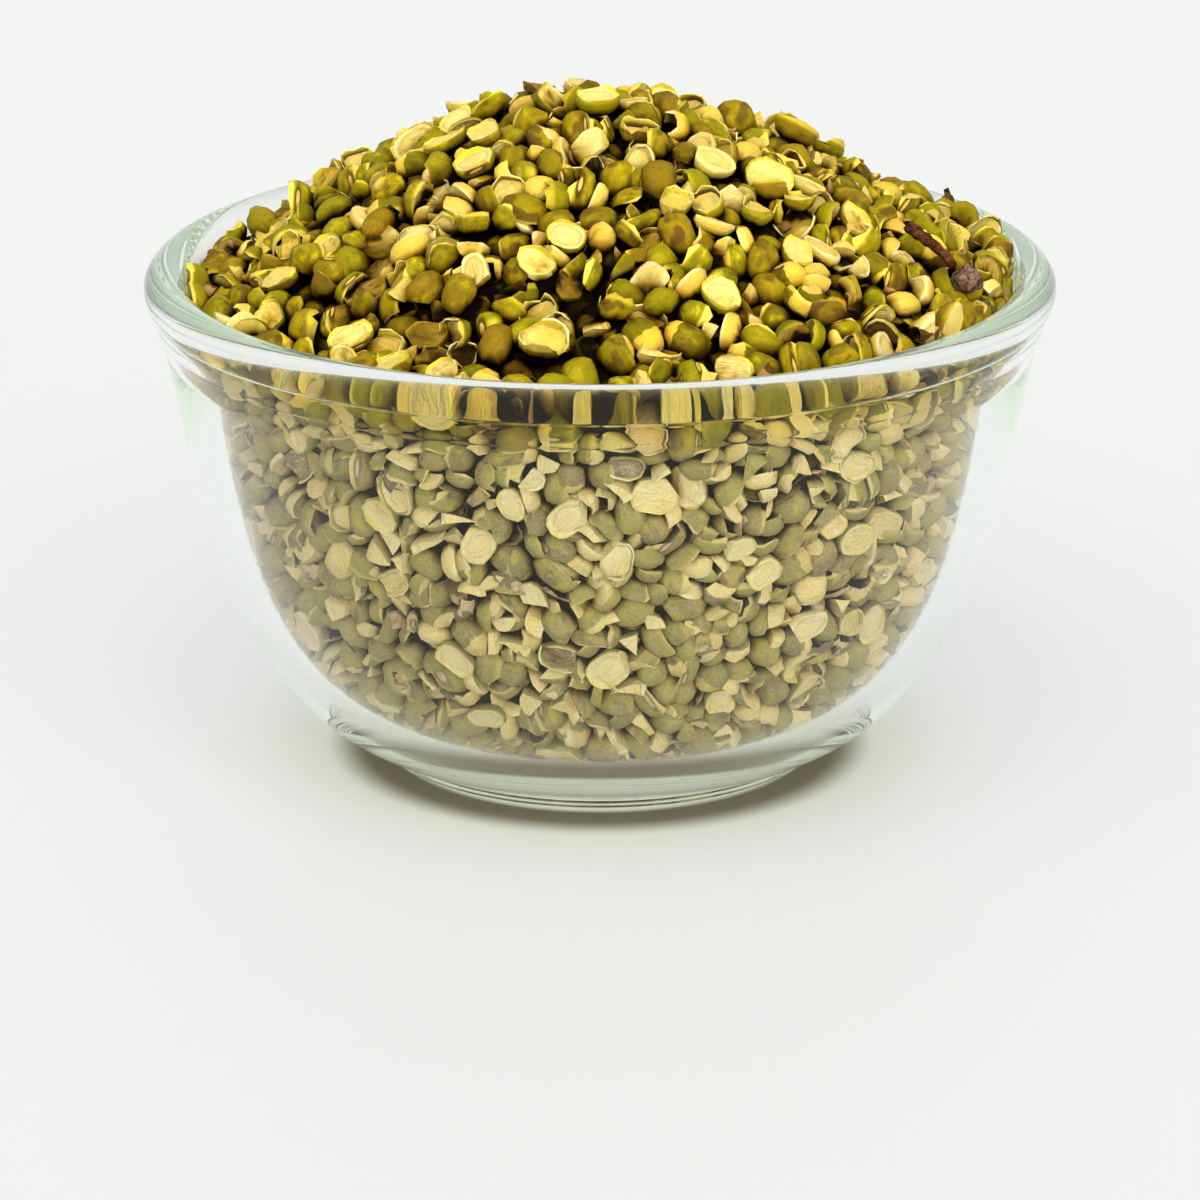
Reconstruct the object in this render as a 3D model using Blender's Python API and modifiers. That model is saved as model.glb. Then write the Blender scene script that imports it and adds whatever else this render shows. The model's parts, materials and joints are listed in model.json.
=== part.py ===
"""A small clear glass bowl heaped with dry split lentils.

Two solids: the turned glass bowl and the heap of lentils that fills it.
Units are metres, +Z is up, and the origin is the middle of the bowl's base.
"""
import math
import random

import bmesh
import bpy
from mathutils import Matrix, Vector

MM = 0.001

# driving dimensions
RIM_RADIUS = 50.0 * MM           # outermost radius, at the middle of the rim's roll
RIM_TOP = 54.9 * MM              # overall height of the bowl
RIM_ROLL = 2.3 * MM              # radius of the rounded rim
COLLAR_HEIGHT = 48.4 * MM        # where the collar under the rim steps back to the body
COLLAR_RADIUS = 48.55 * MM
BODY_TOP_RADIUS = 48.1 * MM      # body just below the collar
BODY_DRAFT = 0.168               # inward slope of the body at its top
BODY_PULL = 29.0 * MM            # reach of the body curve's upper handle
HEEL_OUT = 12.2 * MM             # reach of the body curve's lower handle, sideways
HEEL_UP = 5.0 * MM               # and upwards
FOOT_RADIUS = 25.2 * MM          # outer radius of the ring that it stands on
FOOT_HEIGHT = 1.2 * MM
FOOT_WIDTH = 4.5 * MM
FLOOR_HEIGHT = 4.5 * MM          # glass under the lentils, at the middle
FLOOR_RADIUS = 19.0 * MM
MOUTH_RADIUS = 45.3 * MM         # inner wall at the rim
WALL_LEAN = 0.24                 # inward slope of the inner wall at its top
WALL_PULL = 24.0 * MM            # downward reach of its upper handle
WALL_HEEL = 18.5 * MM            # outward reach of the inner wall's lower handle

HEAP_PEAK = 74.9 * MM            # highest point of the heap
HEAP_EDGE = 52.4 * MM            # where the heap meets the wall
HEAP_MIDDLE = 40.0 * MM          # the heap's outline is seen from this height on its axis
HEAP_EDGE_RISE = 4.0 * MM        # how much fuller it is on its high side, +X
HEAP_POWER = 1.6                 # 1 is a cone, 2 a parabola
HEAP_POWER_DROP = 0.3            # the high side is nearer to a cone
HEAP_CLEARANCE = 0.4 * MM        # lentils to glass

LENTIL_LENGTH = 4.9 * MM
LENTIL_WIDTH = 3.8 * MM
LENTIL_THICK = 1.7 * MM          # cut face to crown of one half
BUMP_COUNT = 760                 # lentil-sized bumps over the whole heap
BUMP_DEPTH = 1.3 * MM            # valley between bumps, below their tops
LOOSE_COUNT = 112                # halves that stand out of the top
LOOSE_SINK = 0.5 * MM            # how far they are pressed into it
PELLET_RADIUS = 1.7 * MM         # lump of earth among the lentils
PELLET_PLACE = (39.2 * MM, -17.2 * MM)
STALK_RADIUS = 0.75 * MM
STALK_ENDS = ((33.2 * MM, -12.2 * MM), (37.4 * MM, -16.4 * MM))

TURN_STEPS = 56
CURVE_POINTS = 8
FLOOR_POINTS = 6
SEED = 17


def clear_scene():
    for item in list(bpy.data.objects):
        bpy.data.objects.remove(item, do_unlink=True)


def new_collection(name):
    collection = bpy.data.collections.new(name)
    bpy.context.scene.collection.children.link(collection)
    return collection


def make_material(name, colour, roughness, metallic=0.0, transmission=0.0):
    material = bpy.data.materials.new(name)
    material.use_nodes = True
    shader = material.node_tree.nodes["Principled BSDF"]
    shader.inputs["Base Color"].default_value = (*colour, 1.0)
    shader.inputs["Roughness"].default_value = roughness
    shader.inputs["Metallic"].default_value = metallic
    shader.inputs["Transmission Weight"].default_value = transmission
    return material


def curve_points(start, handle_a, handle_b, end, count):
    """Points of one Bezier stretch as (radius, height), both ends included."""
    points = []
    for i in range(count):
        t = i / (count - 1)
        u = 1.0 - t
        weights = (u ** 3, 3 * u * u * t, 3 * u * t * t, t ** 3)
        corners = (start, handle_a, handle_b, end)
        points.append(tuple(sum(w * c[k] for w, c in zip(weights, corners)) for k in (0, 1)))
    return points


def arc_points(centre, radius, first, last, count):
    """Points of an arc as (radius, height), angles in degrees from the outward direction."""
    angles = [math.radians(first + (last - first) * i / (count - 1)) for i in range(count)]
    return [(centre[0] + radius * math.cos(a), centre[1] + radius * math.sin(a)) for a in angles]


def inner_wall(count):
    """Inner side of the bowl, from the edge of its floor up to the mouth."""
    mouth = (MOUTH_RADIUS, RIM_TOP - 2 * RIM_ROLL)
    lean = (mouth[0] - WALL_LEAN * WALL_PULL, mouth[1] - WALL_PULL)
    heel = (FLOOR_RADIUS + WALL_HEEL, FLOOR_HEIGHT)
    return curve_points((FLOOR_RADIUS, FLOOR_HEIGHT), heel, lean, mouth, count)


def outer_wall(count):
    """Outer side of the body, from under the collar down to the foot."""
    top = (BODY_TOP_RADIUS, COLLAR_HEIGHT - 0.8 * MM)
    lean = (top[0] - BODY_DRAFT * BODY_PULL, top[1] - BODY_PULL)
    heel = (FOOT_RADIUS + HEEL_OUT, HEEL_UP)
    return curve_points(top, lean, heel, (FOOT_RADIUS + 0.6 * MM, FOOT_HEIGHT), count)


def bowl_profile():
    """Half section of the bowl, up its inside, over the rim and down its outside."""
    roll_centre = (RIM_RADIUS - RIM_ROLL, RIM_TOP - RIM_ROLL)
    profile = [(0.0, FLOOR_HEIGHT)]
    profile += inner_wall(CURVE_POINTS)
    profile += arc_points(roll_centre, RIM_ROLL, 180, 0, 7)
    profile += [(COLLAR_RADIUS, COLLAR_HEIGHT)]
    profile += outer_wall(CURVE_POINTS)
    profile += [(FOOT_RADIUS, 0.0), (FOOT_RADIUS - FOOT_WIDTH, 0.0)]
    profile += [(FOOT_RADIUS - FOOT_WIDTH - 0.8 * MM, 0.8 * MM), (0.0, 0.9 * MM)]
    return profile


def build_bowl(collection, material):
    """The profile is turned about the Z axis by a Screw modifier."""
    mesh = bpy.data.meshes.new("bowl")
    profile = bowl_profile()
    edges = [(i, i + 1) for i in range(len(profile) - 1)]
    mesh.from_pydata([(r, 0.0, z) for r, z in profile], edges, [])
    bowl = bpy.data.objects.new("bowl", mesh)
    collection.objects.link(bowl)
    turn = bowl.modifiers.new("turn", "SCREW")
    turn.steps = TURN_STEPS
    turn.render_steps = TURN_STEPS
    turn.use_merge_vertices = True
    turn.merge_threshold = 0.00001
    turn.use_smooth_shade = True
    mesh.materials.append(material)
    return bowl


def high_side(azimuth):
    """1 on the heap's fuller side, +X, and 0 on the far side."""
    return (0.5 + 0.5 * math.cos(azimuth)) ** 2


def heap_height(x, y):
    """Height of the heap's top surface, a blunt cone that leans to +X."""
    radius = math.hypot(x, y)
    side = high_side(math.atan2(y, x))
    edge = HEAP_EDGE + HEAP_EDGE_RISE * side
    power = HEAP_POWER - HEAP_POWER_DROP * side
    share = min(radius / MOUTH_RADIUS, 1.0)
    return HEAP_PEAK - (HEAP_PEAK - edge) * share ** power


def heap_outline(azimuth):
    """Half section of the heap at one azimuth, from under its middle up to its peak."""
    bottom = FLOOR_HEIGHT + HEAP_CLEARANCE
    points = [(FLOOR_RADIUS * i / FLOOR_POINTS, bottom) for i in range(FLOOR_POINTS)]
    for radius, height in inner_wall(24):
        points.append((radius - HEAP_CLEARANCE, height + 0.5 * HEAP_CLEARANCE))
    brink = MOUTH_RADIUS - 2 * HEAP_CLEARANCE
    for i in range(24):
        radius = brink * (1.0 - i / 23)
        x = radius * math.cos(azimuth)
        y = radius * math.sin(azimuth)
        points.append((radius, heap_height(x, y)))
    return points


def heap_point(direction, depth):
    """Where a ray from inside the heap meets its outline, drawn in by depth."""
    azimuth = math.atan2(direction.y, direction.x)
    slope = math.atan2(direction.z, math.hypot(direction.x, direction.y))
    reach = None
    previous = None
    for radius, height in heap_outline(azimuth):
        angle = math.atan2(height - HEAP_MIDDLE, radius)
        distance = math.hypot(height - HEAP_MIDDLE, radius)
        if angle >= slope:
            if previous is None or angle == previous[0]:
                reach = distance
            else:
                share = (slope - previous[0]) / (angle - previous[0])
                reach = previous[1] + share * (distance - previous[1])
            break
        previous = (angle, distance)
    if reach is None:
        reach = previous[1]
    return direction * (reach - depth) + Vector((0.0, 0.0, HEAP_MIDDLE))


def spread_directions(count):
    """Unit vectors spread evenly over a sphere along a spiral."""
    golden = math.pi * (3.0 - math.sqrt(5.0))
    directions = []
    for i in range(count):
        z = 1.0 - 2.0 * (i + 0.5) / count
        flat = math.sqrt(1.0 - z * z)
        directions.append(Vector((flat * math.cos(i * golden), flat * math.sin(i * golden), z)))
    return directions


def build_heap_core(collection, material, draw):
    """A closed skin of lentil-sized bumps, with a valley round every bump."""
    form = bmesh.new()
    for direction in spread_directions(BUMP_COUNT):
        wander = Vector((draw.uniform(-1, 1), draw.uniform(-1, 1), draw.uniform(-1, 1)))
        form.verts.new((direction + 0.018 * wander).normalized())
    bmesh.ops.convex_hull(form, input=form.verts)
    ridges = list(form.edges)
    tops = list(form.verts)
    bmesh.ops.poke(form, faces=form.faces)
    bmesh.ops.rotate_edges(form, edges=ridges, use_ccw=False)
    top_set = set(tops)
    for vert in form.verts:
        if vert in top_set:
            depth = draw.uniform(0.0, 0.35) * BUMP_DEPTH
        else:
            depth = draw.uniform(0.85, 1.25) * BUMP_DEPTH
        vert.co = heap_point(vert.co.normalized(), depth)
    bmesh.ops.recalc_face_normals(form, faces=form.faces)
    mesh = bpy.data.meshes.new("lentil_heap")
    form.to_mesh(mesh)
    form.free()
    heap = bpy.data.objects.new("lentil_heap", mesh)
    collection.objects.link(heap)
    mesh.materials.append(material)
    return heap


def half_lentil(draw):
    """One half of a split lentil, domed above and flat below, about 30 triangles."""
    form = bmesh.new()
    bmesh.ops.create_uvsphere(form, u_segments=8, v_segments=4, radius=1.0)
    size = draw.uniform(0.86, 1.1)
    scale = (0.5 * LENTIL_LENGTH * size, 0.5 * LENTIL_WIDTH * size, LENTIL_THICK * size)
    bmesh.ops.scale(form, vec=scale, verts=form.verts)
    geometry = form.verts[:] + form.edges[:] + form.faces[:]
    cut = bmesh.ops.bisect_plane(form, geom=geometry, plane_co=(0, 0, 0), plane_no=(0, 0, -1), clear_outer=True)
    rim = [item for item in cut["geom_cut"] if isinstance(item, bmesh.types.BMEdge)]
    bmesh.ops.edgeloop_fill(form, edges=rim)
    bmesh.ops.recalc_face_normals(form, faces=form.faces)
    return form


def add_form(form, name, matrix, collection):
    mesh = bpy.data.meshes.new(name)
    form.transform(matrix)
    form.to_mesh(mesh)
    form.free()
    item = bpy.data.objects.new(name, mesh)
    item.hide_render = True
    item.display_type = "WIRE"
    collection.objects.link(item)
    return item


def surface_frame(x, y, sink):
    """A matrix whose Z axis stands on the heap's top surface at x, y."""
    step = 1.0 * MM
    slope_x = (heap_height(x + step, y) - heap_height(x - step, y)) / (2 * step)
    slope_y = (heap_height(x, y + step) - heap_height(x, y - step)) / (2 * step)
    normal = Vector((-slope_x, -slope_y, 1.0)).normalized()
    place = Vector((x, y, heap_height(x, y))) - sink * normal
    return Matrix.Translation(place) @ normal.to_track_quat("Z", "Y").to_matrix().to_4x4()


def add_loose_lentils(collection, draw):
    """Halves that stand out of the heap's top, spread evenly along a spiral."""
    golden = math.pi * (3.0 - math.sqrt(5.0))
    reach = MOUTH_RADIUS - LENTIL_LENGTH
    debris = (Vector(PELLET_PLACE) + Vector(STALK_ENDS[0])) / 2
    for i in range(LOOSE_COUNT):
        radius = reach * math.sqrt((i + 0.5) / LOOSE_COUNT)
        x = radius * math.cos(i * golden)
        y = radius * math.sin(i * golden)
        tilt = draw.uniform(-40.0, 40.0)
        turn = draw.uniform(0.0, 360.0)
        flip = 180.0 if draw.random() < 0.35 else 0.0
        form = half_lentil(draw)
        if (Vector((x, y)) - debris).length < 6.5 * MM:
            form.free()
            continue
        lie = Matrix.Rotation(math.radians(turn), 4, "Z") @ Matrix.Rotation(math.radians(tilt + flip), 4, "X")
        centre = Matrix.Translation((0.0, 0.0, -0.45 * LENTIL_THICK))
        add_form(form, "loose_lentil", surface_frame(x, y, LOOSE_SINK) @ lie @ centre, collection)


def add_debris(collection):
    """A lump of earth and a bit of stalk, low on the heap's fuller side."""
    form = bmesh.new()
    bmesh.ops.create_icosphere(form, subdivisions=1, radius=PELLET_RADIUS)
    bmesh.ops.scale(form, vec=(1.0, 0.9, 0.85), verts=form.verts)
    add_form(form, "pellet", surface_frame(*PELLET_PLACE, 0.2 * MM), collection)
    ends = [surface_frame(x, y, 0.0).translation for x, y in STALK_ENDS]
    axis = ends[1] - ends[0]
    form = bmesh.new()
    bmesh.ops.create_cone(form, segments=6, radius1=STALK_RADIUS, radius2=STALK_RADIUS,
                          depth=axis.length, cap_ends=True)
    place = Matrix.Translation((ends[0] + ends[1]) / 2) @ axis.to_track_quat("Z", "Y").to_matrix().to_4x4()
    add_form(form, "stalk", place, collection)


def keep_main_body(mesh):
    """Drops loose scraps, and fills hollows that the union has sealed."""
    form = bmesh.new()
    form.from_mesh(mesh)
    unseen = set(form.verts)
    bodies = []
    while unseen:
        front = [unseen.pop()]
        body = list(front)
        while front:
            vert = front.pop()
            for edge in vert.link_edges:
                other = edge.other_vert(vert)
                if other in unseen:
                    unseen.remove(other)
                    front.append(other)
                    body.append(other)
        bodies.append(body)
    bodies.sort(key=len)
    for body in bodies[:-1]:
        bmesh.ops.delete(form, geom=body, context="VERTS")
    form.to_mesh(mesh)
    form.free()


def join_with(heap, pieces):
    """One union of the heap with everything that stands out of it, then applied."""
    union = heap.modifiers.new("join", "BOOLEAN")
    union.operation = "UNION"
    union.operand_type = "COLLECTION"
    union.collection = pieces
    union.solver = "EXACT"
    bpy.context.view_layer.update()
    evaluated = heap.evaluated_get(bpy.context.evaluated_depsgraph_get())
    joined = bpy.data.meshes.new_from_object(evaluated)
    heap.modifiers.clear()
    heap.data = joined
    joined.name = "lentil_heap"
    keep_main_body(joined)
    for item in list(pieces.objects):
        bpy.data.objects.remove(item, do_unlink=True)


def main():
    clear_scene()
    draw = random.Random(SEED)
    parts = new_collection("dish_of_lentils")
    pieces = new_collection("pieces_to_join")
    glass = make_material("clear_glass", (0.86, 0.93, 0.88), 0.03, transmission=1.0)
    food = make_material("dry_lentils", (0.42, 0.38, 0.08), 0.55)
    build_bowl(parts, glass)
    heap = build_heap_core(parts, food, draw)
    add_loose_lentils(pieces, draw)
    add_debris(pieces)
    join_with(heap, pieces)


main()
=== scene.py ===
# A small glass bowl heaped with dry split lentils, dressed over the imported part.
import json
import math
import random
import time

import bmesh
import bpy
import numpy as np
from mathutils import Matrix, Vector

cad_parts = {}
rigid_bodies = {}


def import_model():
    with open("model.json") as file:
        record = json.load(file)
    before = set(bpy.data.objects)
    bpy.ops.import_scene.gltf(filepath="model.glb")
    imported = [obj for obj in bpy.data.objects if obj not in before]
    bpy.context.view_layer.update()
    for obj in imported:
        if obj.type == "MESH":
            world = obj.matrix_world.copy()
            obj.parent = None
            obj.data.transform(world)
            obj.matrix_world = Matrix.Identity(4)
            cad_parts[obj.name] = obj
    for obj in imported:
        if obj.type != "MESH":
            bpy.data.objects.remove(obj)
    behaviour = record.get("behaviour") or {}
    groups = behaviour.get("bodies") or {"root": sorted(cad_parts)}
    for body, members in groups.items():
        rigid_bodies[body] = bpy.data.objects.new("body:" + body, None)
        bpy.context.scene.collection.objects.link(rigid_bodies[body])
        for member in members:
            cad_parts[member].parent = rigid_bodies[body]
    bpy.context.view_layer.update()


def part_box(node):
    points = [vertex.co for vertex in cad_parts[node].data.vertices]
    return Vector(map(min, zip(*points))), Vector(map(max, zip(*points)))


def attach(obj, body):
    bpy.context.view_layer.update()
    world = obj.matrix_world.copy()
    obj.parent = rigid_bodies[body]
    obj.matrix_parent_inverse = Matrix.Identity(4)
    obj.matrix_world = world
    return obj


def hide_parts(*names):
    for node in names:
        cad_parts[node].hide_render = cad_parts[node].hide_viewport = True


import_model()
started = time.time()
mm = 0.001
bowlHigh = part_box("bowl")[1]


def report(text):
    print(f"[lentils] {time.time() - started:5.1f} s  {text}")


def linked(name, data):
    made = bpy.data.objects.new(name, data)
    bpy.context.scene.collection.objects.link(made)
    return made


def meshFrom(name, form):
    mesh = bpy.data.meshes.new(name)
    form.to_mesh(mesh)
    form.free()
    return mesh


def applied(piece):
    # what its modifiers make takes the place of its own mesh
    made = bpy.data.meshes.new_from_object(piece.evaluated_get(bpy.context.evaluated_depsgraph_get()))
    piece.modifiers.clear()
    piece.data = made
    made.name = piece.name
    return made


# Node wiring: a socket that takes part in sums, a tree that makes its nodes, and a material

class Wire:
    def __init__(self, paint, socket):
        self.paint = paint
        self.socket = socket

    def maths(self, operation, *others):
        return self.paint.sum(operation, self, *others)

    def __add__(self, other): return self.maths("ADD", other)
    def __radd__(self, other): return self.maths("ADD", other)
    def __sub__(self, other): return self.maths("SUBTRACT", other)
    def __mul__(self, other): return self.maths("MULTIPLY", other)
    def __rmul__(self, other): return self.maths("MULTIPLY", other)
    def __truediv__(self, other): return self.maths("DIVIDE", other)
    def __rsub__(self, other): return self.paint.sum("SUBTRACT", other, self)

    def smooth(self, low, high):
        ends = {"Value": self, "From Min": low, "From Max": high}
        node = self.paint.node("ShaderNodeMapRange", {"interpolation_type": "SMOOTHSTEP"}, ends)
        return Wire(self.paint, node.outputs["Result"])


class Nodes:
    def __init__(self, tree):
        self.tree = tree

    def plug(self, value, socket):
        if isinstance(value, Wire):
            value = value.socket
        if isinstance(value, bpy.types.NodeSocket):
            self.tree.links.new(value, socket)
            return
        held = socket.default_value
        if hasattr(held, "__len__") and len(value) == 3 < len(held):
            value = (*value, 1.0)  # a colour gets its alpha
        socket.default_value = value

    def node(self, kind, settings=None, values=None):
        made = self.tree.nodes.new(kind)
        for key, value in (settings or {}).items():
            setattr(made, key, value)
        for key, value in (values or {}).items():
            self.plug(value, made.inputs[key])
        return made

    def sum(self, operation, *values):
        node = self.node("ShaderNodeMath", {"operation": operation}, dict(enumerate(values)))
        return Wire(self, node.outputs[0])

    def vector(self, operation, *values, output="Vector"):
        node = self.node("ShaderNodeVectorMath", {"operation": operation}, dict(enumerate(values)))
        return Wire(self, node.outputs[output])

    def mix(self, low, high, factor):
        # the node keeps its factor between 0 and 1
        node = self.node("ShaderNodeMix", {"data_type": "RGBA"}, {0: factor, 6: low, 7: high})
        return Wire(self, node.outputs[2])

    def layered(self, base, *coats):
        for colour, factor in coats:
            base = self.mix(base, colour, factor)
        return base

    def attribute(self, name, output="Fac"):
        return Wire(self, self.node("ShaderNodeAttribute", {"attribute_name": name}).outputs[output])

    def dice(self, seed, turn):
        # a new random number from one per-grain number
        node = self.node("ShaderNodeTexWhiteNoise", {"noise_dimensions": "1D"}, {"W": seed * 91.7 + turn})
        return Wire(self, node.outputs["Value"])

    def noise(self, place, scale, detail):
        values = {"Vector": place, "Scale": scale, "Detail": detail}
        return Wire(self, self.node("ShaderNodeTexNoise", None, values).outputs["Fac"])

    def bump(self, height, strength, distance):
        values = {"Height": height, "Strength": strength, "Distance": distance}
        return Wire(self, self.node("ShaderNodeBump", None, values).outputs["Normal"])


class Paint(Nodes):
    def __init__(self, name):
        self.material = bpy.data.materials.new(name)
        self.material.use_nodes = True
        super().__init__(self.material.node_tree)
        self.shader = self.tree.nodes["Principled BSDF"]
        self.output = self.tree.nodes["Material Output"]

    def set(self, **values):
        for key, value in values.items():
            self.plug(value, self.shader.inputs[key.replace("_", " ")])


# The bowl

glassBowl = {
    "rimRadius": bowlHigh[0],
    "rimTop": bowlHigh[2],
    "rollRadius": 2.3 * mm,
    "collarTop": (49.1 * mm, 50.5 * mm),
    "collarFoot": (48.75 * mm, 48.8 * mm),
    "bodyTop": (48.1 * mm, 48.0 * mm),
    "bodyDraft": 0.168,
    "bodyPull": 29.0 * mm,
    "heel": (37.4 * mm, 5.0 * mm),
    "foot": (25.2 * mm, 1.2 * mm),
    "footWidth": 4.5 * mm,
    "floor": (19.0 * mm, 4.5 * mm),
    "mouthRadius": 45.3 * mm,
    "wallLean": 0.24,
    "wallPull": 24.0 * mm,
    "wallHeel": 18.5 * mm,
    "turns": 144,
}


def bezier(a, b, c, d, count):
    t = np.linspace(0.0, 1.0, count)[:, None]
    a, b, c, d = (np.array(p) for p in (a, b, c, d))
    return (1 - t) ** 3 * a + 3 * (1 - t) ** 2 * t * b + 3 * (1 - t) * t ** 2 * c + t ** 3 * d


def rounded(corner, before, after, count=4):
    # a quadratic bend that takes the place of a corner
    t = np.linspace(0.0, 1.0, count)[:, None]
    before, corner, after = (np.array(p) for p in (before, corner, after))
    return (1 - t) ** 2 * before + 2 * (1 - t) * t * corner + t ** 2 * after


def innerWall(count):
    s = glassBowl
    mouth = np.array((s["mouthRadius"], s["rimTop"] - 2 * s["rollRadius"]))
    lean = mouth - s["wallPull"] * np.array((s["wallLean"], 1.0))
    heel = (s["floor"][0] + s["wallHeel"], s["floor"][1])
    return bezier(s["floor"], heel, lean, mouth, count)


def bowlSection():
    s = glassBowl
    roll = np.array((s["rimRadius"] - s["rollRadius"], s["rimTop"] - s["rollRadius"]))
    angles = np.radians(np.linspace(176, -44, 26))
    rim = roll + s["rollRadius"] * np.stack([np.cos(angles), np.sin(angles)], 1)
    collarTop, collarFoot, bodyTop = (np.array(s[k]) for k in ("collarTop", "collarFoot", "bodyTop"))
    step = np.array((collarFoot[0], bodyTop[1] + 0.25 * mm))
    lean = bodyTop - s["bodyPull"] * np.array((s["bodyDraft"], 1.0))
    foot = np.array(s["foot"])
    footIn = foot[0] - s["footWidth"]
    body = bezier(bodyTop, lean, s["heel"], foot + (0.5 * mm, 0.2 * mm), 40)
    parts = [[(0.0, s["floor"][1])], innerWall(40), rim,
             rounded(collarTop, rim[-1], (collarTop[0] - 0.05 * mm, collarTop[1] - 0.4 * mm)),
             rounded(step, collarFoot, bodyTop), body[1:],
             rounded((foot[0], foot[1]), body[-1], (foot[0], 0.8 * mm)),
             rounded((foot[0] - 0.1 * mm, 0.0), (foot[0], 0.6 * mm), (foot[0] - 0.7 * mm, 0.0)),
             rounded((footIn, 0.0), (footIn + 0.6 * mm, 0.0), (footIn - 0.6 * mm, 0.8 * mm)),
             [(0.0, 0.9 * mm)]]
    return np.concatenate(parts)


def turned(name, section, turns):
    mesh = bpy.data.meshes.new(name)
    edges = [(i, i + 1) for i in range(len(section) - 1)]
    mesh.from_pydata([(r, 0.0, z) for r, z in section], edges, [])
    lathe = linked(name, mesh)
    screw = lathe.modifiers.new("turn", "SCREW")
    screw.steps = screw.render_steps = turns
    screw.use_merge_vertices = True
    screw.merge_threshold = 0.00001
    screw.use_smooth_shade = True
    applied(lathe)
    return lathe


def glassFinish():
    paint = Paint("clearGlass")
    paint.set(Base_Color=(0.99, 1.0, 0.99), Roughness=0.0, IOR=1.5, Transmission_Weight=1.0,
              Specular_Tint=(0.6, 0.57, 0.47))
    tint = paint.node("ShaderNodeVolumeAbsorption", None, {"Color": (0.87, 0.95, 0.87), "Density": 8.0})
    paint.plug(tint.outputs["Volume"], paint.output.inputs["Volume"])
    return paint.material


bowl = turned("glassBowl", bowlSection(), glassBowl["turns"])
bowl.data.materials.append(glassFinish())
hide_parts("bowl")
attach(bowl, "root")
report(f"glass bowl, {len(bowl.data.polygons)} faces")


# The heap's outline, a blunt cone that leans to +X

heap = {
    "peak": 74.9 * mm,
    "edge": 52.0 * mm,
    "edgeRise": 3.4 * mm,
    "power": 1.6,
    "powerDrop": 0.3,
    "proud": 1.0 * mm,         # how far the lentils' tips stand over the outline
    "layer": 4.9 * mm,
    "coreSink": 1.25,          # how deep the core's own top lies, in layers
    "coreMiddle": (0.0, 0.0, 38 * mm),
    "coreLeanFrom": 46 * mm,
    "coreWaves": ((1500, 900, -700), (-800, 1400, 1100), (600, -1000, 1500)),
    "coreRelief": 0.9 * mm,
    "dryGap": 0.03 * mm,       # lentils stop this short of the glass
    "flourLightTop": 50.0 * mm,
    "flourLightFade": 4 * mm,
    "flourLightDepth": 2 * mm,
}


def heapHeight(x, y):
    s = heap
    side = (0.5 + 0.5 * np.cos(np.arctan2(y, x))) ** 2
    share = np.minimum(np.hypot(x, y) / glassBowl["mouthRadius"], 1.0)
    drop = (s["peak"] - s["edge"] - s["edgeRise"] * side) * share ** (s["power"] - s["powerDrop"] * side)
    return s["peak"] + s["proud"] - drop


def wallField():
    line = np.concatenate([[(0.0, glassBowl["floor"][1])], innerWall(60), [(glassBowl["mouthRadius"], 0.1)]])
    cell = 0.5 * mm
    radii = np.arange(0.0, 56 * mm, cell)
    heights = np.arange(0.0, 90 * mm, cell)
    grid = np.stack(np.meshgrid(radii, heights, indexing="ij"), -1)
    best = np.full(grid.shape[:2], 1.0)
    sign = np.ones(grid.shape[:2])
    for a, b in zip(line[:-1], line[1:]):
        along = b - a
        t = np.clip(((grid - a) @ along) / (along @ along), 0.0, 1.0)
        away = grid - (a + t[..., None] * along)
        distance = np.hypot(away[..., 0], away[..., 1])
        nearer = distance < best
        side = along[0] * (grid[..., 1] - a[1]) - along[1] * (grid[..., 0] - a[0])
        sign[nearer] = np.sign(side)[nearer]
        best[nearer] = distance[nearer]
    return best * sign, cell


wallGrid, wallCell = wallField()
wallSlopeR, wallSlopeZ = np.gradient(wallGrid, wallCell)


def lookUp(grid, radius, height):
    u = np.clip(radius / wallCell, 0, grid.shape[0] - 1.001)
    v = np.clip(height / wallCell, 0, grid.shape[1] - 1.001)
    i, j = u.astype(int), v.astype(int)
    u, v = u - i, v - j
    return ((1 - u) * (1 - v) * grid[i, j] + u * (1 - v) * grid[i + 1, j]
            + (1 - u) * v * grid[i, j + 1] + u * v * grid[i + 1, j + 1])


def wallAt(points):
    # distance to the glass, and the direction away from it
    radius = np.hypot(points[:, 0], points[:, 1]) + 1e-9
    distance = lookUp(wallGrid, radius, points[:, 2])
    inward = lookUp(wallSlopeR, radius, points[:, 2]) / radius
    upward = lookUp(wallSlopeZ, radius, points[:, 2])
    away = np.stack([inward * points[:, 0], inward * points[:, 1], upward], 1)
    return distance, away / (np.linalg.norm(away, axis=1)[:, None] + 1e-9)


def topAt(points):
    # depth under the heap's top, and the direction down into it
    step = 0.5 * mm
    x, y = points[:, 0], points[:, 1]
    slopeX = (heapHeight(x + step, y) - heapHeight(x - step, y)) / (2 * step)
    slopeY = (heapHeight(x, y + step) - heapHeight(x, y - step)) / (2 * step)
    length = np.sqrt(1 + slopeX ** 2 + slopeY ** 2)
    depth = (heapHeight(x, y) - points[:, 2]) / length
    return depth, np.stack([slopeX, slopeY, -np.ones_like(x)], 1) / length[:, None]


def facesAt(points):
    # both distances, and the way in from the nearer of the two
    wall, fromWall = wallAt(points)
    top, downIn = topAt(points)
    return wall, top, np.where((top < wall)[:, None], downIn, fromWall)


# What lies on the heap besides: a lump of earth and a piece of stalk

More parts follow.
